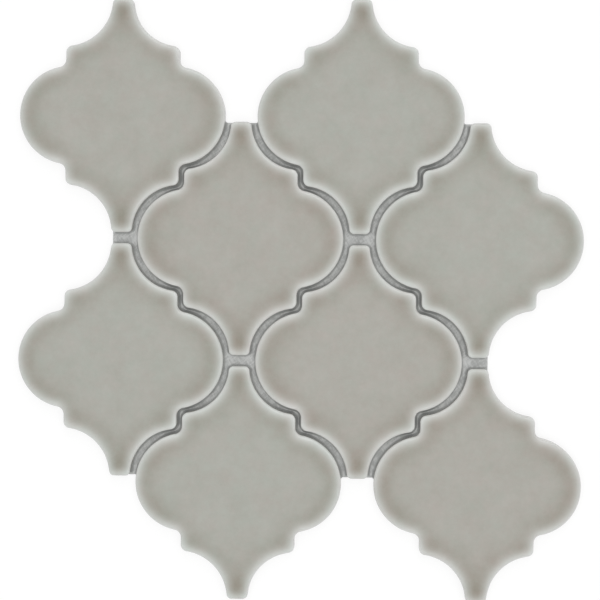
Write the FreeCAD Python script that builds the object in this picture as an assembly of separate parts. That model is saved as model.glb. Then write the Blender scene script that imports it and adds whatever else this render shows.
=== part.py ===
# Arabesque mosaic sheet: pressed and glazed lantern tiles in staggered rows, face up, glued to
# one thin fibre mat across their backs. Millimetres, +Z up out of the glazed faces.
# The origin is the middle of the sheet, on the underside of the mat.

import FreeCAD, Part
import math
import os

# One tile, seen from the front. Its height follows from the arcs and the step.
TILE_WIDTH = 91.4
TILE_THICKNESS = 6.0
LOBE_RADIUS = 21.7
TIP_WIDTH = 9.1
STEP_RISE = 3.2
TIP_CORNER = 2.2
SHOULDER_CORNER = 2.95
STEP_CORNER = 3.5
EDGE_ROLL = 2.0

# Open joints between neighbouring tiles
TIP_JOINT = 4.8
LOBE_JOINT = 2.6
SHOULDER_JOINT = 1.75
STEP_JOINT = 2.4

# Keying grooves pressed into the back of a tile
GROOVE_PITCH = 8.0
GROOVE_WIDTH = 4.0
GROOVE_DEPTH = 0.5
BACK_BORDER = 7.0

# The mat behind the tiles: how far it stays inside the lattice, and inside the tips at the joint mouths
MAT_THICKNESS = 0.5
MAT_TRIM = 6.5
MOUTH_TRIM = 0.2

# The sheet: rows of two tiles, each row half a column to the side of the last
ROWS = 4
SIDES = {"left": -1, "right": 1}

# Arc centres of the first quarter of the outline, from the lobe round to the tip
half_column = (TILE_WIDTH + TIP_WIDTH) / 2 + LOBE_JOINT
lobe_x = TILE_WIDTH / 2 - LOBE_RADIUS
step_x = (half_column - STEP_JOINT) / 2
corner_x = step_x + STEP_CORNER
corner_y = math.sqrt((LOBE_RADIUS + STEP_CORNER) ** 2 - (corner_x - lobe_x) ** 2)
shoulder_x = step_x - SHOULDER_CORNER
shoulder_y = corner_y + STEP_RISE
neck_radius = LOBE_RADIUS - TIP_JOINT / 2 + SHOULDER_JOINT
neck_x = TIP_WIDTH / 2 + neck_radius
neck_y = shoulder_y + math.sqrt((neck_radius + SHOULDER_CORNER) ** 2 - (neck_x - shoulder_x) ** 2)
tip_x = neck_x - math.sqrt((neck_radius + TIP_CORNER) ** 2 - TIP_CORNER**2)
tip_y = neck_y - TIP_CORNER

half_height = neck_y
row_pitch = half_height + TIP_JOINT / 2

ORIGIN = FreeCAD.Vector(0, 0, 0)
ACROSS = FreeCAD.Vector(1, 0, 0)
ALONG = FreeCAD.Vector(0, 1, 0)
UP = FreeCAD.Vector(0, 0, 1)
MITRED = 2


def line(start, end):
    """Straight edge between two (x, y) points."""
    return Part.LineSegment(FreeCAD.Vector(*start), FreeCAD.Vector(*end)).toShape()


def arc(x, y, radius, start, end):
    """Edge of a circle about (x, y), between two angles in radians."""
    angles = (start, (start + end) / 2, end)
    points = [FreeCAD.Vector(x + radius * math.cos(a), y + radius * math.sin(a)) for a in angles]
    return Part.Arc(*points).toShape()


def rectangle(half_x, half_y, y=0):
    """Flat face about (0, y), from its half sizes."""
    return Part.makePlane(2 * half_x, 2 * half_y, FreeCAD.Vector(-half_x, y - half_y))


def lattice_cell():
    """Rhombus around one tile, side to side with the cells of the tiles beside it."""
    corners = [(half_column, 0), (0, row_pitch), (-half_column, 0), (0, -row_pitch), (half_column, 0)]
    return Part.Face(Part.makePolygon([FreeCAD.Vector(*corner) for corner in corners]))


def lantern_outline():
    """Closed wire of a tile: two lobes and two flat tips, joined by four mirrored sides."""
    lobe_end = math.atan2(corner_y, corner_x - lobe_x)
    shoulder_end = math.atan2(neck_y - shoulder_y, neck_x - shoulder_x)
    tip_start = math.atan2(neck_y - tip_y, neck_x - tip_x)
    side = Part.Compound(
        [
            arc(corner_x, corner_y, STEP_CORNER, math.pi + lobe_end, math.pi),
            line((step_x, corner_y), (step_x, shoulder_y)),
            arc(shoulder_x, shoulder_y, SHOULDER_CORNER, 0, shoulder_end),
            arc(neck_x, neck_y, neck_radius, math.pi + shoulder_end, math.pi + tip_start),
            arc(tip_x, tip_y, TIP_CORNER, tip_start, math.pi / 2),
        ]
    )
    lobe = arc(lobe_x, 0, LOBE_RADIUS, -lobe_end, lobe_end)
    tip = line((-tip_x, half_height), (tip_x, half_height))
    right = [side, side.mirror(ORIGIN, ALONG), lobe]
    left = [piece.mirror(ORIGIN, ACROSS) for piece in right]
    pieces = right + left + [tip, tip.mirror(ORIGIN, ALONG)]
    return Part.Wire(Part.__sortEdges__([edge for piece in pieces for edge in piece.Edges]))


def keying_grooves():
    """Shallow bars across the back of a tile, kept inside its cell by a plain border."""
    reach = math.floor(row_pitch / GROOVE_PITCH)
    centres = [i * GROOVE_PITCH for i in range(-reach, reach + 1)]
    bars = Part.Compound([rectangle(half_column, GROOVE_WIDTH / 2, y) for y in centres])
    field = lattice_cell().makeOffset2D(-BACK_BORDER, MITRED)
    return bars.common(field).extrude(UP * GROOVE_DEPTH)


def lantern_tile():
    """One tile about its own centre, back face at zero: rolled front edge, grooved back."""
    body = Part.Face(lantern_outline()).extrude(UP * TILE_THICKNESS)
    rim = [edge for edge in body.Edges if edge.BoundBox.ZMin > TILE_THICKNESS / 2]
    roll = min(EDGE_ROLL, 0.95 * TIP_CORNER, 0.95 * SHOULDER_CORNER, 0.5 * TILE_THICKNESS)
    return body.makeFillet(roll, rim).cut(keying_grooves())


def tile_centres():
    """Tile name to centre, row 1 at the top of the sheet."""
    centres = {}
    for row in range(1, ROWS + 1):
        stagger = -0.5 if row % 2 else 0.5
        for side, step in SIDES.items():
            x = (step + stagger) * half_column
            y = ((ROWS + 1) / 2 - row) * row_pitch
            centres[f"tile_row_{row}_{side}"] = FreeCAD.Vector(x, y)
    return centres


def backing_mat():
    """Mat with straight knife cuts: a zigzag hidden behind the outer tiles, level with the tips between them."""
    cells = [lattice_cell().translated(centre) for centre in tile_centres().values()]
    sheet = cells[0].multiFuse(cells[1:]).removeSplitter().Faces[0]
    zigzag = sheet.makeOffset2D(-MAT_TRIM, MITRED)
    mouths_x = 1.5 * half_column + TIP_WIDTH / 2 - MOUTH_TRIM
    mouths_y = (ROWS / 2 - 1.5) * row_pitch + half_height - MOUTH_TRIM
    outline = zigzag.fuse(rectangle(mouths_x, mouths_y)).removeSplitter()
    return outline.extrude(UP * MAT_THICKNESS)


tile = lantern_tile()
seat = UP * MAT_THICKNESS
nodes = {name: tile.translated(centre + seat) for name, centre in tile_centres().items()}
nodes["backing_mat"] = backing_mat()

os.makedirs("parts", exist_ok=True)
for name, shape in nodes.items():
    shape.exportStep(f"parts/{name}.step")
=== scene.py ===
# Mosaic sheet of eight lantern tiles: pressed ceramic under a warm grey gloss glaze, set in staggered
# rows and glued by their backs to one fibre mat. Metres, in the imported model's frame, +Z out of the glaze.

import math

import bpy
import numpy as np
from mathutils import Matrix, Vector


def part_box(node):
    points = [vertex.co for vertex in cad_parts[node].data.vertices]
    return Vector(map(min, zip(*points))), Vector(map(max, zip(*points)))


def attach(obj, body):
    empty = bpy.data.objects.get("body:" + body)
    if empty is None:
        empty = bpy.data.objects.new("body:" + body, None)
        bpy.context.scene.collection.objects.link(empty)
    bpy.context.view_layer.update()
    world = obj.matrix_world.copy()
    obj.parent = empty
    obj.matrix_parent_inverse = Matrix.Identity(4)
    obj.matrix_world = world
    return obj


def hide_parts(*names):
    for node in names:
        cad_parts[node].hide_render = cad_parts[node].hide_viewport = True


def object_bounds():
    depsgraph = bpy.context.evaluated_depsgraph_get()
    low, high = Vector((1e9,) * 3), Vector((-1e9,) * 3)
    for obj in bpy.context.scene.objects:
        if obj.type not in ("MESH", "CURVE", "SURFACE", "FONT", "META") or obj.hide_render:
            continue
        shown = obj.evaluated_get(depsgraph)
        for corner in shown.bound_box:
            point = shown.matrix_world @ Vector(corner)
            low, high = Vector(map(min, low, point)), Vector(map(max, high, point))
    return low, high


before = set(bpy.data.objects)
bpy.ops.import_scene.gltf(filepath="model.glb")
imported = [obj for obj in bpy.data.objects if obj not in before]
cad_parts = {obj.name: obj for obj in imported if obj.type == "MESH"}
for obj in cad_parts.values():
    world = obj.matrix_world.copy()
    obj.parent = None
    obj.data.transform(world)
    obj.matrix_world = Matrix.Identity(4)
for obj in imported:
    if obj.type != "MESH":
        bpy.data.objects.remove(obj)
cad_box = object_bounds()


# Lantern tiles
# White ceramic pressed in a die, dipped in a warm grey glaze and fired to a gloss. The glaze runs thin over
# the rolled edge and gathers in a darker band just inside it. The lighter colour on the rolled edge is partly
# that thin glaze over the white body and partly painted light, which lifts the shade of the roll. The rim is
# also lighter where an edge faces along the tile's length, and darker where it faces across.
# The back stays bare, with shallow grooves for the adhesive.

MM = 0.001
LOBE_RADIUS = 21.7 * MM
TIP_WIDTH = 9.1 * MM
STEP_RISE = 3.2 * MM
TIP_CORNER = 2.2 * MM
SHOULDER_CORNER = 2.95 * MM
STEP_CORNER = 3.5 * MM
SHOULDER_JOINT = 1.75 * MM
STEP_JOINT = 2.4 * MM
EDGE_ROLL = 1.4 * MM
CROWN = 0.4 * MM
LIFTED_EDGE_WIDTH = 0.7 * MM
THIN_REACH = 3.0 * MM
POOL_REACH = 5.0 * MM
SHORT_RIM_REACH = 0.9 * MM
LONG_RIM_REACH = 2.1 * MM
BACK_ROUND = 0.3 * MM
GROOVE_PITCH = 8.0 * MM
GROOVE_WIDTH = 4.0 * MM
GROOVE_SLOPE = 0.4 * MM
GROOVE_DEPTH = 0.5 * MM
BACK_BORDER = 7.0 * MM
POINT_SPACING = 0.9 * MM
TURN_STEP = math.radians(11)
ROLL_STEPS = 9
FACE_RINGS = 26
RING_CROWDING = 1.5
CLEAR_EDGE = math.radians(40)

tile_boxes = {name: np.array(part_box(name)) for name in sorted(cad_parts) if name.startswith("tile")}
tile_centres = {name: box.mean(axis=0) for name, box in tile_boxes.items()}
tile_low, tile_high = tile_boxes["tile_row_1_left"]
tile_width, tile_height, tile_thickness = tile_high - tile_low
half_column, row_pitch = abs(tile_centres["tile_row_2_left"] - tile_centres["tile_row_1_left"])[:2]
cell_side = math.hypot(half_column, row_pitch)

lobe_x = tile_width / 2 - LOBE_RADIUS
step_x = (half_column - STEP_JOINT) / 2
corner_x = step_x + STEP_CORNER
corner_y = math.sqrt((LOBE_RADIUS + STEP_CORNER) ** 2 - (corner_x - lobe_x) ** 2)
shoulder_x = step_x - SHOULDER_CORNER
shoulder_y = corner_y + STEP_RISE
neck_radius = LOBE_RADIUS - (row_pitch - tile_height / 2) + SHOULDER_JOINT
neck_x = TIP_WIDTH / 2 + neck_radius
neck_y = tile_height / 2
tip_x = neck_x - math.sqrt((neck_radius + TIP_CORNER) ** 2 - TIP_CORNER**2)
tip_y = neck_y - TIP_CORNER
lobe_end = math.atan2(corner_y, corner_x - lobe_x)
shoulder_end = math.atan2(neck_y - shoulder_y, neck_x - shoulder_x)
tip_start = math.atan2(neck_y - tip_y, neck_x - tip_x)


def arc(x, y, radius, start, end, outward):
    """Circle about (x, y): radius times (cosine, sine) of even angle steps, the first left out. Each row is a
    point and its outward normal, which runs to the centre where outward is -1."""
    turn = abs(end - start)
    steps = max(math.ceil(radius * turn / POINT_SPACING), math.ceil(turn / TURN_STEP))
    angle = np.linspace(start, end, steps + 1)[1:]
    ray = np.column_stack([np.cos(angle), np.sin(angle)])
    return np.hstack([[x, y] + radius * ray, outward * ray])


def upright(x, low, high):
    """Straight run up the side: even steps of y at one x, the first left out, with the normal along +X."""
    steps = math.ceil((high - low) / POINT_SPACING)
    y = np.linspace(low, high, steps + 1)[1:]
    return np.column_stack([np.full(steps, x), y, np.ones(steps), np.zeros(steps)])


quarter = np.vstack(
    [
        [tile_width / 2, 0, 1, 0],
        arc(lobe_x, 0, LOBE_RADIUS, 0, lobe_end, 1),
        arc(corner_x, corner_y, STEP_CORNER, math.pi + lobe_end, math.pi, -1),
        upright(step_x, corner_y, shoulder_y),
        arc(shoulder_x, shoulder_y, SHOULDER_CORNER, 0, shoulder_end, 1),
        arc(neck_x, neck_y, neck_radius, math.pi + shoulder_end, math.pi + tip_start, -1),
        arc(tip_x, tip_y, TIP_CORNER, tip_start, math.pi / 2, 1),
    ]
)


def share_off_tile(points, reach_x, reach_y):
    """How much of the plane round each point is off the tile, weighed by a bell curve: one minus the filled
    outline on a fine grid, convolved with the bell by Fourier transform and read between grid points."""
    count = 640
    step = 0.25 * MM
    axis = (np.arange(count) - count // 2) * step
    edge = np.interp(abs(axis), quarter[:, 1], quarter[:, 0], right=-1)
    filled = np.clip((edge[:, None] - abs(axis)) / step + 0.5, 0, 1)
    waves = math.pi * np.fft.fftfreq(count, step)
    bell = np.exp(-2 * ((reach_y * waves[:, None]) ** 2 + (reach_x * waves) ** 2))
    blurred = np.fft.ifft2(np.fft.fft2(filled) * bell).real
    place = points / step + count // 2
    x, y = place.astype(int).T
    u, v = (place - place.astype(int)).T
    low = blurred[y, x] * (1 - u) + blurred[y, x + 1] * u
    high = blurred[y + 1, x] * (1 - u) + blurred[y + 1, x + 1] * u
    return 1 - low * (1 - v) - high * v


def grooved_back(side):
    """Back of the tile as rows across it, one for each point up its side: columns at the two edges and at
    the ends of the groove field, a rhombus. The field rises by the groove depth where a row lies in a
    groove."""
    field_x = half_column - BACK_BORDER * cell_side / row_pitch
    field_y = row_pitch - BACK_BORDER * cell_side / half_column
    narrowest = 0.8 * MM
    x, y = (side[:, :2] - BACK_ROUND * side[:, 2:]).T
    reach = field_x * (1 - abs(y) / field_y)
    field = np.maximum(reach, narrowest)
    from_groove = abs((y + GROOVE_PITCH / 2) % GROOVE_PITCH - GROOVE_PITCH / 2)
    depth = np.clip((GROOVE_WIDTH / 2 - from_groove) / GROOVE_SLOPE + 0.5, 0, 1) * (reach > narrowest)
    across = np.column_stack([-x, -field - GROOVE_SLOPE, -field, field, field + GROOVE_SLOPE, x])
    rise = np.outer(depth * GROOVE_DEPTH, [0, 0, 1, 1, 0, 0])
    return np.dstack([across, np.broadcast_to(y[:, None], across.shape), rise])


def lantern_tile():
    """Closed tile about its own centre. Rings of the outline run up the wall, in over a quarter circle of
    roll and, shrunk towards the centre, across the face, which stands lower by the crown where less of the
    tile is round it. The back's rows close it below."""
    reach = math.floor((row_pitch - BACK_BORDER * cell_side / half_column) / GROOVE_PITCH)
    grooves = GROOVE_PITCH * np.arange(-reach, reach + 1)
    half_widths = np.outer([-0.5, 0.5], [GROOVE_WIDTH - GROOVE_SLOPE, GROOVE_WIDTH + GROOVE_SLOPE]).ravel()
    cuts = np.add.outer(grooves, half_widths).ravel()
    side = np.vstack([quarter[:0:-1] * [1, -1, 1, -1], quarter])
    back_y = side[:, 1] - BACK_ROUND * side[:, 3]
    groove_rows = np.column_stack([np.interp(cuts, back_y, column) for column in side.T])
    side = np.vstack([side, groove_rows])[np.argsort(np.append(back_y, cuts))]
    back = grooved_back(side)
    rows, columns = back.shape[:2]

    tip = np.column_stack([back[-1, 1:-1, 0], np.full((columns - 2, 3), [neck_y, 0, 1])])
    outline = np.vstack([side, tip[::-1], side[::-1] * [-1, 1, -1, 1], tip * [1, -1, 1, -1]])
    loop = len(outline)

    roll = np.linspace(0, math.pi / 2, ROLL_STEPS)
    inset = np.concatenate([[BACK_ROUND, 0], EDGE_ROLL * (1 - np.cos(roll))])
    edge_rings = outline[:, :2] - inset[:, None, None] * outline[:, 2:]
    shrink = 1 - np.linspace(0, 1, FACE_RINGS + 1)[1:-1] ** RING_CROWDING
    face_rings = shrink[:, None, None] * edge_rings[-1]
    plan = np.concatenate([edge_rings, face_rings]).reshape(-1, 2)
    plan = np.vstack([plan, [0, 0]])
    thin = share_off_tile(plan, THIN_REACH, THIN_REACH)
    pool = share_off_tile(plan, POOL_REACH, POOL_REACH)
    # Share off the tile seen along its length less that seen across it: positive where an edge faces along
    # the length, negative where it faces across.
    lengthwise_rim = share_off_tile(plan, SHORT_RIM_REACH, LONG_RIM_REACH)
    lengthwise_rim = lengthwise_rim - share_off_tile(plan, LONG_RIM_REACH, SHORT_RIM_REACH)
    drop = np.concatenate([[0, 0], EDGE_ROLL * (1 - np.sin(roll)), np.zeros(FACE_RINGS - 1)])
    height = tile_thickness - np.append(np.repeat(drop, loop), 0) - 2 * CROWN * thin
    height[:loop] = 0
    height[loop : 2 * loop] = BACK_ROUND
    # How far the very edge is lifted: partly bare body, partly painted light.
    bare_and_painted_light = np.zeros(len(plan))
    bare_and_painted_light[: loop * len(inset)] = np.repeat(np.exp(-((inset / LIFTED_EDGE_WIDTH) ** 2)), loop)

    inside = back[1:-1, 1:-1].reshape(-1, 3)
    points = np.vstack([np.column_stack([plan, height]), inside])
    on_back = np.full(len(inside), 0.5)
    glaze_form = {"thin_glaze_and_painted_light": thin, "pooled_glaze": pool, "lengthwise_rim_tone": lengthwise_rim, "bare_edge_and_painted_light": bare_and_painted_light}
    glaze_form = {name: np.append(form, on_back) for name, form in glaze_form.items()}

    ring = np.arange(len(plan) - 1).reshape(-1, loop)
    ahead = np.roll(ring, -1, axis=1)
    wall = np.stack([ring[:-1], ahead[:-1], ahead[1:], ring[1:]], axis=-1).reshape(-1, 4)
    fan = np.column_stack([ring[-1], ahead[-1], np.full(loop, len(plan) - 1)])
    grid = np.zeros((rows, columns), dtype=int)
    grid[:, -1] = np.arange(rows)
    grid[-1, 1:-1] = np.arange(rows, rows + columns - 2)[::-1]
    grid[:, 0] = np.arange(rows + columns - 2, 2 * rows + columns - 2)[::-1]
    grid[0, 1:-1] = np.arange(2 * rows + columns - 2, loop)
    grid[1:-1, 1:-1] = len(plan) + np.arange(len(inside)).reshape(rows - 2, columns - 2)
    under = np.stack([grid[:-1, :-1], grid[1:, :-1], grid[1:, 1:], grid[:-1, 1:]], axis=-1).reshape(-1, 4)
    return points, wall.tolist() + under.tolist() + fan.tolist(), glaze_form


class Value:
    """A shader socket as a number: + - * with another or with a plain number add a Math node."""

    def __init__(self, finish, socket):
        self.finish = finish
        self.socket = socket

    def maths(self, operation, first, second):
        return self.finish.node("ShaderNodeMath", {"operation": operation}, {0: first, 1: second})

    def __add__(self, other):
        return self.maths("ADD", self, other)

    def __sub__(self, other):
        return self.maths("SUBTRACT", self, other)

    def __rsub__(self, other):
        return self.maths("SUBTRACT", other, self)

    def __mul__(self, other):
        return self.maths("MULTIPLY", self, other)

    __radd__ = __add__
    __rmul__ = __mul__


class Finish:
    """The nodes of one material or world: node() adds one, sets it, feeds it and gives an output."""

    def __init__(self, owner):
        owner.use_nodes = True
        self.tree = owner.node_tree
        self.tree.nodes.clear()

    def node(self, kind, settings, sockets, output=0):
        made = self.tree.nodes.new(kind)
        for name, setting in settings.items():
            setattr(made, name, setting)
        for name, value in sockets.items():
            if isinstance(value, Value):
                self.tree.links.new(value.socket, made.inputs[name])
            else:
                made.inputs[name].default_value = value
        return Value(self, made.outputs[output]) if made.outputs else None

    def noise(self, place, scale, detail, roughness=0.5):
        sockets = {"Vector": place, "Scale": scale, "Detail": detail, "Roughness": roughness}
        return self.node("ShaderNodeTexNoise", {}, sockets)

    def scaled(self, vector, factor):
        return self.node("ShaderNodeVectorMath", {"operation": "SCALE"}, {0: vector, "Scale": factor})

    def added(self, first, second):
        return self.node("ShaderNodeVectorMath", {"operation": "ADD"}, {0: first, 1: second})

    def mix(self, factor, first, second):
        return self.node("ShaderNodeMix", {"data_type": "RGBA"}, {0: factor, 6: first, 7: second}, 2)

    def ramp(self, value, low, high):
        sockets = {"Value": value, "From Min": low, "From Max": high}
        return self.node("ShaderNodeMapRange", {"interpolation_type": "SMOOTHSTEP"}, sockets)

    def attribute(self, name):
        return self.node("ShaderNodeAttribute", {"attribute_name": name}, {}, "Fac")

    def surface(self, colour, roughness, relief, strength, depth):
        bump = self.node("ShaderNodeBump", {}, {"Strength": strength, "Distance": depth, "Height": relief})
        sockets = {"Base Color": colour, "Roughness": roughness, "Normal": bump}
        shader = self.node("ShaderNodeBsdfPrincipled", {}, sockets)
        self.node("ShaderNodeOutputMaterial", {}, {"Surface": shader})


GLAZE = (0.422, 0.421, 0.377)
# Lighter colour where the glaze runs thin over the edge: partly thin glaze over the white body, partly
# painted light.
THIN_GLAZE_AND_PAINTED_LIGHT = (1.44, 1.60, 1.68)
POOLED_GLAZE = (-0.617, -0.715, -0.741)
CORNER_GLAZE = (-0.45, -0.45, -0.49)
# Lighter on the rim where an edge faces along the tile's length, darker where it faces across.
LENGTHWISE_RIM_TONE = (0.157, 0.149, 0.148)
# Glaze on the tile's walls, darker than the face: partly its own colour, partly painted shade that deepens
# the joints.
WALL_GLAZE_AND_SHADE = (0.31, 0.295, 0.255, 1)
# Lift at the very edge: partly white body showing, partly painted light against the shade of the roll's steep
# outer part.
BARE_EDGE_AND_PAINTED_LIGHT = (0.115, 0.096, 0.098)
CLOUDS = (0.124, 0.130, 0.135)
BLUSH = (0.059, -0.038, -0.018)
BLUSH_PLACE = (0.5, 0.2, 0.1)
CLOUD_NOISE = {"scale": 85.0, "detail": 5.0, "roughness": 0.8}
FIRED_WARM = (-0.001, -0.012, -0.0105)
WARM_TILES = {
    "tile_row_1_left": 0.5,
    "tile_row_2_left": 1.0,
    "tile_row_3_right": 1.0,
    "tile_row_4_right": 1.0,
}
GLAZE_ROUGHNESS = 0.15
GLAZE_RELIEF = 0.12 * MM
GLAZE_LINE = tile_low[2] + 0.8 * MM
GLAZE_FADE = 0.7 * MM
RAGGED_SCALE = 260.0
RAGGED_REACH = 0.9 * MM
RIPPLE_SCALE = 190.0
WALL_TOP = tile_low[2] + 4.6 * MM
BODY = (0.79, 0.76, 0.69, 1)
BODY_SHADE = (0.70, 0.66, 0.58, 1)
BODY_ROUGHNESS = 0.72
GRAIN_SCALE = 2600.0
GRAIN_RELIEF = 0.5

glaze = bpy.data.materials.new("grey_gloss_glaze")
finish = Finish(glaze)
place = finish.node("ShaderNodeTexCoord", {}, {}, "Object")
height = finish.node("ShaderNodeSeparateXYZ", {}, {"Vector": place}, "Z")
clouds = finish.noise(place, **CLOUD_NOISE) - 0.5
blush = finish.noise(finish.added(place, BLUSH_PLACE), **CLOUD_NOISE) - 0.5
# Rim lightening: partly thin glaze, partly painted light.
colour = finish.added(GLAZE, finish.scaled(THIN_GLAZE_AND_PAINTED_LIGHT, finish.attribute("thin_glaze_and_painted_light")))
pool = finish.attribute("pooled_glaze")
colour = finish.added(colour, finish.scaled(POOLED_GLAZE, pool))
colour = finish.added(colour, finish.scaled(CORNER_GLAZE, pool * pool))
colour = finish.added(colour, finish.scaled(LENGTHWISE_RIM_TONE, finish.attribute("lengthwise_rim_tone")))
colour = finish.added(colour, finish.scaled(CLOUDS, clouds))
colour = finish.added(colour, finish.scaled(BLUSH, blush))
colour = finish.added(colour, finish.scaled(FIRED_WARM, finish.attribute("fired_warm")))
# Lift at the very edge: partly bare body, partly painted light against the shade of the roll.
colour = finish.added(colour, finish.scaled(BARE_EDGE_AND_PAINTED_LIGHT, finish.attribute("bare_edge_and_painted_light")))
# Down the wall the colour goes over to the darker wall glaze, partly painted shade in the joints.
colour = finish.mix(finish.ramp(height, GLAZE_LINE, WALL_TOP), WALL_GLAZE_AND_SHADE, colour)
ragged = finish.noise(place, RAGGED_SCALE, detail=2.0) * RAGGED_REACH
glazed = finish.ramp(height + ragged, GLAZE_LINE, GLAZE_LINE + GLAZE_FADE)
grain = finish.noise(place, GRAIN_SCALE, detail=3.0)
colour = finish.mix(glazed, finish.mix(grain, BODY_SHADE, BODY), colour)
roughness = BODY_ROUGHNESS - (BODY_ROUGHNESS - GLAZE_ROUGHNESS) * glazed
ripple = finish.noise(place, RIPPLE_SCALE, detail=2.0) * glazed + grain * GRAIN_RELIEF * (1 - glazed)
finish.surface(colour, roughness, ripple, strength=0.25, depth=GLAZE_RELIEF)


def add_piece(name, points, faces, material, node):
    """Makes a mesh object of points and faces, smooth up to a clear edge, and puts it on the frame for a
    node."""
    mesh = bpy.data.meshes.new(name)
    mesh.from_pydata(points.tolist(), [], faces)
    mesh.shade_smooth()
    mesh.set_sharp_from_angle(angle=CLEAR_EDGE)
    mesh.materials.append(material)
    piece = bpy.data.objects.new(name, mesh)
    bpy.context.scene.collection.objects.link(piece)
    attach(piece, "root")
    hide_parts(node)
    return piece


tile_points, tile_faces, glaze_form = lantern_tile()
for name, centre in tile_centres.items():
    seat = [centre[0], centre[1], tile_low[2]]
    tile = add_piece("glazed_" + name, tile_points + seat, tile_faces, glaze, name)
    glaze_form["fired_warm"] = np.full(len(tile_points), WARM_TILES.get(name, 0.0))
    for form, values in glaze_form.items():
        tile.data.attributes.new(form, "FLOAT", "POINT").data.foreach_set("value", values)


# Backing mat
# Thin white fibre fleece, glued flat across the backs of the tiles to hold them at their spacing. It is cut
# with a knife: in a zigzag behind the outer tiles, and level with their tips where a joint opens outwards.

MAT_TRIM = 6.5 * MM
MOUTH_TRIM = 0.2 * MM
FLEECE_UNDERSIDE = 0.2 * MM
FLEECE = (0.68, 0.69, 0.685, 1)
FLEECE_SHADE = (0.50, 0.51, 0.505, 1)
FLEECE_ROUGHNESS = 0.9
FLEECE_RELIEF = {"strength": 0.4, "depth": 0.1 * MM}
FIBRE_SCALE = 1500.0
FIBRE_STRETCH = (1.0, 4.5, 1.0)
FIBRE_SLANTS = (0.5, -0.9)
CLUMP_SCALE = 240.0
CLUMP_SHARE = 0.3

mat_low, mat_high = np.array(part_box("backing_mat"))
trimmed_x = half_column - MAT_TRIM * cell_side / row_pitch
trimmed_y = row_pitch - MAT_TRIM * cell_side / half_column
mouth_x = 1.5 * half_column + TIP_WIDTH / 2 - MOUTH_TRIM
mouth_y = row_pitch / 2 + tile_height / 2 - MOUTH_TRIM


def cut_line():
    """Corners of the mat, anticlockwise: a peak behind each outer tile, with flanks along the lattice, cut
    off straight at the joint mouths. The first half, given half a turn, makes the second."""
    upper_x, upper_y = tile_centres["tile_row_1_left"][:2]
    crest_x = tile_centres["tile_row_1_right"][0]
    lower_x, lower_y = tile_centres["tile_row_2_right"][:2]
    peak_x = lower_x + trimmed_x
    peak_y = upper_y + trimmed_y
    flank_x = trimmed_x * (peak_y - mouth_y) / trimmed_y
    flank_y = trimmed_y * (peak_x - mouth_x) / trimmed_x
    half = np.array(
        [
            (mouth_x, lower_y - flank_y),
            (peak_x, lower_y),
            (mouth_x, lower_y + flank_y),
            (mouth_x, mouth_y),
            (crest_x + flank_x, mouth_y),
            (crest_x, peak_y),
            (crest_x - flank_x, mouth_y),
            (upper_x + flank_x, mouth_y),
            (upper_x, peak_y),
            (-peak_x, upper_y),
            (-mouth_x, upper_y - flank_y),
        ]
    )
    return np.vstack([half, -half])


def fleece_fibres(finish):
    """Colour and height of the fleece: the mean of two noises, drawn out aslant to each other as fibres,
    with broader clumps in the colour."""
    place = finish.node("ShaderNodeTexCoord", {}, {}, "Object")
    layers = []
    for slant in FIBRE_SLANTS:
        sockets = {"Vector": place, "Scale": FIBRE_STRETCH, "Rotation": (0, 0, slant)}
        drawn = finish.node("ShaderNodeMapping", {"vector_type": "TEXTURE"}, sockets)
        layers.append(finish.noise(drawn, FIBRE_SCALE, detail=3.0))
    fibres = layers[0] * 0.5 + layers[1] * 0.5
    clumps = finish.noise(place, CLUMP_SCALE, detail=2.0)
    shade = finish.ramp(fibres * (1 - CLUMP_SHARE) + clumps * CLUMP_SHARE, low=0.40, high=0.60)
    return finish.mix(shade, FLEECE_SHADE, FLEECE), fibres


fleece = bpy.data.materials.new("white_fibre_fleece")
finish = Finish(fleece)
colour, fibres = fleece_fibres(finish)
finish.surface(colour, FLEECE_ROUGHNESS, fibres, **FLEECE_RELIEF)

corners = cut_line()
count = len(corners)
levels = np.repeat([mat_low[2] + FLEECE_UNDERSIDE, mat_high[2]], count)
mat_points = np.column_stack([np.tile(corners, (2, 1)), levels])
around = np.arange(count)
following = np.roll(around, -1)
rim = np.column_stack([around, following, following + count, around + count])
mat_faces = rim.tolist() + [around[::-1].tolist(), (around + count).tolist()]
mat = add_piece("fibre_mat", mat_points, mat_faces, fleece, "backing_mat")


# Adhesive
# Clear glue squeezed out from under the tiles when they were pressed on to the mat. It dried as a thin,
# uneven fillet along the foot of each tile, where there is mat for it to lie on. Its dark colour on the
# fleece is painted shade at the foot of each tile; in the narrow joints, where the fillets of both tiles
# meet, the painted shade goes right across. The two rows of painted shade go round a fillet: under the wall,
# out on the mat, in its hollow and up on the wall.

FILLET_WIDTH = 0.95 * MM
FILLET_HEIGHT = 0.35 * MM
FILLET_TUCK = 0.1 * MM
FILLET_SINK = 0.02 * MM
HOLLOW_WIDTH = 0.35
HOLLOW_HEIGHT = 0.4
LONG_SWELL = 0.08
LONG_TURN = 0.19 / MM
SHORT_SWELL = 0.06
SHORT_TURN = 0.53 / MM
NARROW_JOINT = 2.3 * MM
WIDE_JOINT = 3.3 * MM
MAT_NEEDED = 1.5 * FILLET_WIDTH
SHORTEST_STRETCH = 4
# How far each of the four points round a fillet is darkened, in a wide and in a narrow joint: painted shade.
PAINTED_SHADE_WIDE = (0, 0, 0.6, 0.8)
PAINTED_SHADE_NARROW = (0, 1, 0.95, 0.9)
# Dark colour of the glue on the fleece: painted shade at the tile feet and in the narrow joints.
GLUE_PAINTED_SHADE = (0.24, 0.248, 0.244, 1)
GLUE_ROUGHNESS = 0.4


def over_mat(points):
    """True for each point inside the cut line: a ray from it along +X crosses the line an odd number of
    times."""
    start_x, start_y = corners.T
    end_x, end_y = np.roll(corners, -1, axis=0).T
    x, y = points[:, 0, None], points[:, 1, None]
    spanned = (start_y > y) != (end_y > y)
    rise = np.where(start_y == end_y, 1, end_y - start_y)
    crossing = start_x + (y - start_y) / rise * (end_x - start_x)
    return (spanned & (crossing > x)).sum(axis=1) % 2 == 1


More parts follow.
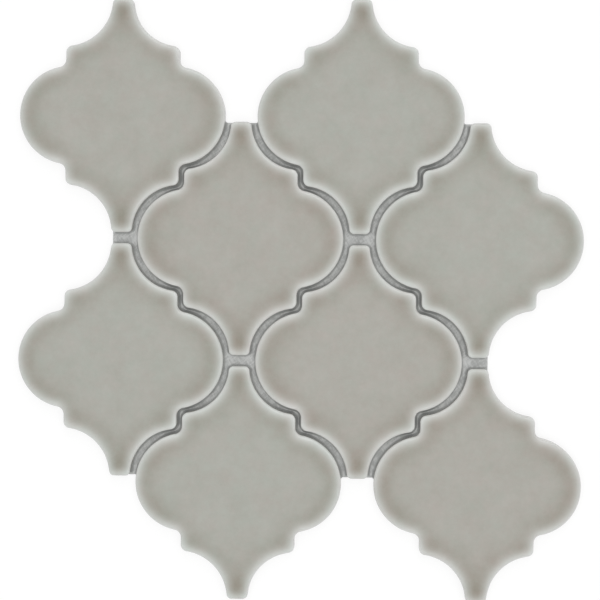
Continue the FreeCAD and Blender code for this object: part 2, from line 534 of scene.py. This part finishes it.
def glue_fillet(foot, tile_index):
    """Fillet along a stretch of a tile's foot: a hollow triangle, from just inside the wall down and out on
    to the mat, carried along the outline. Its width swells and shrinks with two sines of the way along, and
    goes over to half the joint where that is narrow. The last array is how much painted shade each point
    gets."""
    way = np.cumsum(np.hypot(*np.diff(foot[:, :2], axis=0, prepend=foot[:1, :2]).T))
    long_swell = LONG_SWELL * np.sin(LONG_TURN * way + tile_index)
    short_swell = SHORT_SWELL * np.sin(SHORT_TURN * way + 2 * tile_index)
    joint = foot[:, 4]
    narrow = np.clip((WIDE_JOINT - joint) / (WIDE_JOINT - NARROW_JOINT), 0, 1)
    width = FILLET_WIDTH * (1 + long_swell + short_swell) * (1 - narrow) + narrow * joint / 2
    out = np.outer(width, [0, 1, HOLLOW_WIDTH, 0]) - FILLET_TUCK * np.array([1, 0, 0, 1])
    up = FILLET_HEIGHT * np.array([0, 0, HOLLOW_HEIGHT, 1]) - FILLET_SINK * np.array([1, 1, 0, 0])
    # Painted shade along the foot of the wall, and right across a narrow joint.
    painted_shade = np.outer(1 - narrow, PAINTED_SHADE_WIDE) + np.outer(narrow, PAINTED_SHADE_NARROW)
    plan = foot[:, None, :2] + out[..., None] * foot[:, None, 2:4]
    points = np.dstack([plan, np.broadcast_to(mat_high[2] + up, out.shape)]).reshape(-1, 3)
    ring = np.arange(len(points)).reshape(-1, 4)
    ahead = np.roll(ring, -1, axis=1)
    sides = np.stack([ring[:-1], ring[1:], ahead[1:], ahead[:-1]], axis=-1).reshape(-1, 4)
    return points, np.vstack([sides, ring[:1], ring[-1:, ::-1]]), painted_shade.ravel()


glue = bpy.data.materials.new("clear_tile_glue")
finish = Finish(glue)
colour, fibres = fleece_fibres(finish)
# By this attribute the fleece colour goes over to the dark glue colour: painted shade.
painted_shade = finish.attribute("painted_shade")
roughness = FLEECE_ROUGHNESS - (FLEECE_ROUGHNESS - GLUE_ROUGHNESS) * painted_shade
finish.surface(finish.mix(painted_shade, colour, GLUE_PAINTED_SHADE), roughness, fibres, **FLEECE_RELIEF)

to_next_tile = quarter[:, None, :2] + quarter[:, :2] - [half_column, row_pitch]
joint_width = np.linalg.norm(to_next_tile, axis=2).min(axis=1)
foot_quarter = np.column_stack([quarter, joint_width])
upper = np.vstack([foot_quarter, foot_quarter[::-1] * [-1, 1, -1, 1, 1]])
foot_line = np.vstack([upper[:-1], upper[:-1] * [-1, -1, -1, -1, 1]])
fillet_points, fillet_faces, fillet_painted_shade = [], [], []
first = 0
for tile_index, centre in enumerate(tile_centres.values()):
    foot = foot_line + [centre[0], centre[1], 0, 0, 0]
    glued = over_mat(foot[:, :2] + MAT_NEEDED * foot[:, 2:4])
    from_bare = np.roll(np.arange(len(foot)), -np.argmin(glued))
    foot, glued = foot[from_bare], glued[from_bare]
    for stretch in np.split(np.arange(len(foot)), np.flatnonzero(np.diff(glued)) + 1):
        if glued[stretch[0]] and len(stretch) >= SHORTEST_STRETCH:
            points, faces, painted_shade = glue_fillet(foot[stretch], tile_index)
            fillet_points.append(points)
            fillet_faces.append(faces + first)
            fillet_painted_shade.append(painted_shade)
            first += len(points)
points = np.vstack(fillet_points)
faces = np.vstack(fillet_faces).tolist()
fillets = add_piece("glue_fillets", points, faces, glue, "backing_mat")
painted_shade_points = fillets.data.attributes.new("painted_shade", "FLOAT", "POINT")
painted_shade_points.data.foreach_set("value", np.concatenate(fillet_painted_shade))


# Scrim
# Flat yarns of white glass fibre, woven plain with wide openings and stuck to the underside of the fleece,
# which they keep from stretching. They are cut along with it.

YARN_PITCH = 5.0 * MM
YARN_HALF_WIDTH = 0.45 * MM
YARN_HALF_THICKNESS = 0.07 * MM
YARN_LEVEL = mat_low[2] + 0.14 * MM
YARN_WAVE = 0.06 * MM
YARN_SIDES = 8
YARN = (0.80, 0.80, 0.78, 1)
# Darker colour between the filaments: painted shade.
YARN_GAP_SHADE = (0.56, 0.56, 0.54, 1)
YARN_ROUGHNESS = 0.45
SHORTEST_YARN = 2 * YARN_PITCH
FILAMENT_SCALE = 5200.0
FILAMENT_DRAW = 0.04
FILAMENT_RELIEF = 0.04 * MM


def yarn(start, end, index, phase):
    """Yarn along X from start to end, index pitches up Y: an ellipse carried along a wave that is high over
    every second crossing, with a ring at each half pitch."""
    halves = np.arange(math.ceil(2 * start / YARN_PITCH), math.floor(2 * end / YARN_PITCH) + 1)
    along = np.concatenate([[start], halves * YARN_PITCH / 2, [end]])
    wave = YARN_LEVEL + YARN_WAVE * np.cos(math.pi * (along / YARN_PITCH + index + phase))
    turn = np.linspace(0, 2 * math.pi, YARN_SIDES, endpoint=False)
    across = index * YARN_PITCH + YARN_HALF_WIDTH * np.cos(turn)
    level = wave[:, None] + YARN_HALF_THICKNESS * np.sin(turn)
    points = np.stack(np.broadcast_arrays(along[:, None], across, level), axis=-1).reshape(-1, 3)
    ring = np.arange(len(points)).reshape(-1, YARN_SIDES)
    ahead = np.roll(ring, -1, axis=1)
    tube = np.stack([ring[:-1], ahead[:-1], ahead[1:], ring[1:]], axis=-1).reshape(-1, 4)
    return points, tube, np.stack([ring[0, ::-1], ring[-1]])


def yarn_set(corners, phase):
    """Yarns along X at every pitch up Y: each line is kept between its first and second crossing of the cut
    line, its third and fourth, and so on."""
    following = np.roll(corners, -1, axis=0)
    reach = math.floor(corners[:, 1].max() / YARN_PITCH)
    points, tubes, ends = [], [], []
    first = 0
    for index in range(-reach, reach + 1):
        crossed = (corners[:, 1] > index * YARN_PITCH) != (following[:, 1] > index * YARN_PITCH)
        low, high = corners[crossed], following[crossed]
        share = (index * YARN_PITCH - low[:, 1]) / (high[:, 1] - low[:, 1])
        cuts = np.sort(low[:, 0] + share * (high[:, 0] - low[:, 0])).reshape(-1, 2)
        for start, end in cuts[cuts[:, 1] - cuts[:, 0] > SHORTEST_YARN]:
            run, tube, closed = yarn(start + YARN_HALF_WIDTH, end - YARN_HALF_WIDTH, index, phase)
            points.append(run)
            tubes.append(tube + first)
            ends.append(closed + first)
            first += len(run)
    return np.vstack(points), np.vstack(tubes), np.vstack(ends)


def yarn_finish(name, stretch):
    """Glass yarn: fine pale filaments, drawn out along the yarn by the stretch of the noise, with painted
    shade between them.
    """
    material = bpy.data.materials.new(name)
    finish = Finish(material)
    place = finish.node("ShaderNodeTexCoord", {}, {}, "Object")
    drawn = finish.node("ShaderNodeMapping", {}, {"Vector": place, "Scale": stretch})
    filaments = finish.noise(drawn, FILAMENT_SCALE, detail=2.0)
    # Between the filaments the colour goes over to painted shade.
    colour = finish.mix(finish.ramp(filaments, low=0.35, high=0.6), YARN_GAP_SHADE, YARN)
    finish.surface(colour, YARN_ROUGHNESS, filaments, strength=0.5, depth=FILAMENT_RELIEF)
    return material


points, tubes, ends = yarn_set(corners, 0)
faces = tubes.tolist() + ends.tolist()
across_finish = yarn_finish("glass_yarn_across", (FILAMENT_DRAW, 1.0, 1.0))
across_yarns = add_piece("scrim_across", points, faces, across_finish, "backing_mat")

points, tubes, ends = yarn_set(corners[:, ::-1], 1)
faces = tubes[:, ::-1].tolist() + ends[:, ::-1].tolist()
along_finish = yarn_finish("glass_yarn_along", (1.0, FILAMENT_DRAW, 1.0))
along_yarns = add_piece("scrim_along", points[:, [1, 0, 2]], faces, along_finish, "backing_mat")


# Floor
# Smooth white table under the sheet, seen as white and darker only where the sheet keeps the light off it.
# Away from the sheet, where the lamps reach less, it is plain white like the room. It throws only half of the
# light back up, so that the tiles' walls keep some shade.

FLOOR_REACH = 3.0
LIT_REACH = 0.3
PLAIN_REACH = 0.9
FLOOR_SEEN = (0.24, 0.24, 0.24, 1)
FLOOR_GLOW = 0.79
FLOOR_BOUNCE = (0.50, 0.50, 0.50, 1)


def seen_directly(finish):
    """One for a ray from the camera, a reflection or through glass, nought for one that only brings light."""
    camera = finish.node("ShaderNodeLightPath", {}, {}, "Is Camera Ray")
    glossy = finish.node("ShaderNodeLightPath", {}, {}, "Is Glossy Ray")
    return camera + glossy + finish.node("ShaderNodeLightPath", {}, {}, "Is Transmission Ray")


table = bpy.data.materials.new("white_table")
finish = Finish(table)
bounce = finish.node("ShaderNodeBsdfDiffuse", {}, {"Color": FLOOR_BOUNCE})
shaded = finish.node("ShaderNodeBsdfDiffuse", {}, {"Color": FLOOR_SEEN})
glow = finish.node("ShaderNodeEmission", {}, {"Strength": FLOOR_GLOW})
lit = finish.node("ShaderNodeAddShader", {}, {0: shaded, 1: glow})
plain = finish.node("ShaderNodeEmission", {}, {"Strength": 1.0})
place = finish.node("ShaderNodeTexCoord", {}, {}, "Object")
away = finish.node("ShaderNodeVectorMath", {"operation": "LENGTH"}, {0: place}, "Value")
fade = finish.ramp(away, LIT_REACH, PLAIN_REACH)
white = finish.node("ShaderNodeMixShader", {}, {0: fade, 1: lit, 2: plain})
surface = finish.node("ShaderNodeMixShader", {}, {0: seen_directly(finish), 1: bounce, 2: white})
finish.node("ShaderNodeOutputMaterial", {}, {"Surface": surface})

square = np.array([[-1, -1], [1, -1], [1, 1], [-1, 1]]) * FLOOR_REACH
floor_mesh = bpy.data.meshes.new("floor")
floor_mesh.from_pydata(np.column_stack([square, np.full(4, cad_box[0].z)]).tolist(), [], [[0, 1, 2, 3]])
floor_mesh.materials.append(table)
floor = bpy.data.objects.new("floor", floor_mesh)
bpy.context.scene.collection.objects.link(floor)


# Light
# A white room, a broad soft lamp over the sheet that reaches down into the joints and leaves no glare on the
# glaze, and a smaller one beyond its upper edge that does shine in it.

ROOM_LIGHT = 0.5
LAMPS = {"front_lamp": (12.7, 1.8, (0.1, -0.25, 1.6)), "upper_lamp": (4.7, 1.2, (0.25, 1.25, 1.3))}

world = bpy.data.worlds.new("white_room")
bpy.context.scene.world = world
finish = Finish(world)
strength = ROOM_LIGHT + (1 - ROOM_LIGHT) * seen_directly(finish)
room = finish.node("ShaderNodeBackground", {}, {"Color": (1, 1, 1, 1), "Strength": strength})
finish.node("ShaderNodeOutputWorld", {}, {"Surface": room})

for name, (power, size, spot) in LAMPS.items():
    light = bpy.data.lights.new(name, "AREA")
    light.energy = power
    light.size = size
    lamp = bpy.data.objects.new(name, light)
    lamp.location = spot
    lamp.rotation_mode = "QUATERNION"
    lamp.rotation_quaternion = (-Vector(spot)).to_track_quat("-Z", "Y")
    bpy.context.scene.collection.objects.link(lamp)
bpy.data.objects["front_lamp"].visible_glossy = False


# Camera
# Almost square over the middle of the sheet, from under a metre, and turned a degree or two as the
# photograph was.

PIXELS = 600
PIXEL = 0.44342 * MM
DISTANCE = 1800
YAW, PITCH, ROLL = np.radians([-2.239, 0.893, -0.566])
SHIFT = np.array([-0.597, -0.287])
FOCUS_LEVEL = 3.0 * MM

turn = Matrix.Rotation(ROLL, 3, "Z") @ Matrix.Rotation(PITCH, 3, "X") @ Matrix.Rotation(YAW, 3, "Y")
camera_data = bpy.data.cameras.new("camera")
camera_data.angle = 2 * math.atan(PIXELS / 2 / DISTANCE)
camera = bpy.data.objects.new("camera", camera_data)
eye = turn.transposed() @ Vector((-SHIFT[0] * PIXEL, -SHIFT[1] * PIXEL, DISTANCE * PIXEL))
camera.matrix_world = Matrix.Translation(eye + Vector((0, 0, FOCUS_LEVEL))) @ turn.transposed().to_4x4()
bpy.context.scene.collection.objects.link(camera)
bpy.context.scene.camera = camera
bpy.context.scene.view_settings.view_transform = "Standard"
